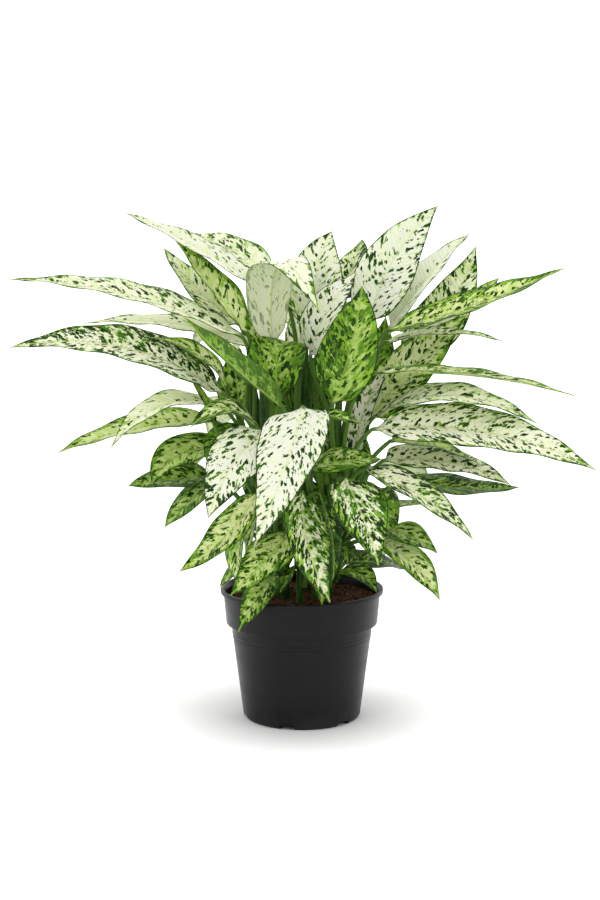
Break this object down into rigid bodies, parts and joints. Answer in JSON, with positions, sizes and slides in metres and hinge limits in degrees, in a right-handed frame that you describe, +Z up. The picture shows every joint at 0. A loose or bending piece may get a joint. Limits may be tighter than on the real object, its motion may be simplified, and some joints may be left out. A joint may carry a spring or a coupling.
{
  "type": "potted dieffenbachia",
  "caption": "Free-standing house plant: broad, cream-variegated pointed leaves on leaning canes, rooted in soil in a round, tapered nursery pot.",
  "frame": {"origin": "middle of the pot's underside, on the surface that the pot stands on", "axes": "+Z up the pot's axis, +X across the widest spread of the leaves (to the right in the picture), +Y away from the picture's viewer"},
  "size_m": [0.5852, 0.3701, 0.5323],
  "materials": {
    "pot_plastic": "satin black moulded polypropylene",
    "coir_soil": "loose moist coir and peat, matt",
    "stem": "green stem and sheath, slightly waxy",
    "leaf_white": "ivory blade with scattered dark green flecks, waxy",
    "leaf_cream": "cream blade with many dark green flecks, waxy",
    "leaf_lime": "lime-cream blade with green flecks, waxy",
    "leaf_green": "green blade with cream flecks, waxy"
  },
  "bodies": {
    "root": {"pot": "pot_plastic", "soil": "coir_soil", "cane_1": "stem", "cane_2": "stem", "cane_3": "stem", "cane_4": "stem", "cane_5": "stem", "sprout_1": "stem", "sprout_2": "stem", "leaf_01": "leaf_white", "leaf_02": "leaf_cream", "leaf_03": "leaf_cream", "leaf_04": "leaf_lime", "leaf_05": "leaf_cream", "leaf_06": "leaf_green", "leaf_07": "leaf_cream", "leaf_08": "leaf_cream", "leaf_09": "leaf_cream", "leaf_10": "leaf_green", "leaf_11": "leaf_cream", "leaf_12": "leaf_lime", "leaf_13": "leaf_lime", "leaf_14": "leaf_green", "leaf_15": "leaf_green", "leaf_16": "leaf_green", "leaf_17": "leaf_white", "leaf_18": "leaf_white", "leaf_19": "leaf_lime", "leaf_20": "leaf_green", "leaf_21": "leaf_green", "leaf_22": "leaf_cream", "leaf_23": "leaf_white", "leaf_24": "leaf_white", "leaf_25": "leaf_white", "leaf_26": "leaf_green", "leaf_27": "leaf_white", "leaf_28": "leaf_cream", "leaf_29": "leaf_lime", "leaf_30": "leaf_lime", "leaf_31": "leaf_lime", "leaf_32": "leaf_cream", "leaf_33": "leaf_cream", "leaf_34": "leaf_cream", "leaf_35": "leaf_cream", "leaf_36": "leaf_green", "leaf_37": "leaf_cream", "leaf_38": "leaf_green", "leaf_39": "leaf_cream", "leaf_40": "leaf_green", "leaf_41": "leaf_lime", "leaf_42": "leaf_green", "leaf_43": "leaf_green", "leaf_44": "leaf_cream", "leaf_45": "leaf_lime", "leaf_46": "leaf_cream", "leaf_47": "leaf_cream", "leaf_48": "leaf_white", "leaf_49": "leaf_cream", "leaf_50": "leaf_lime", "leaf_51": "leaf_green"}
  },
  "joints": []
}
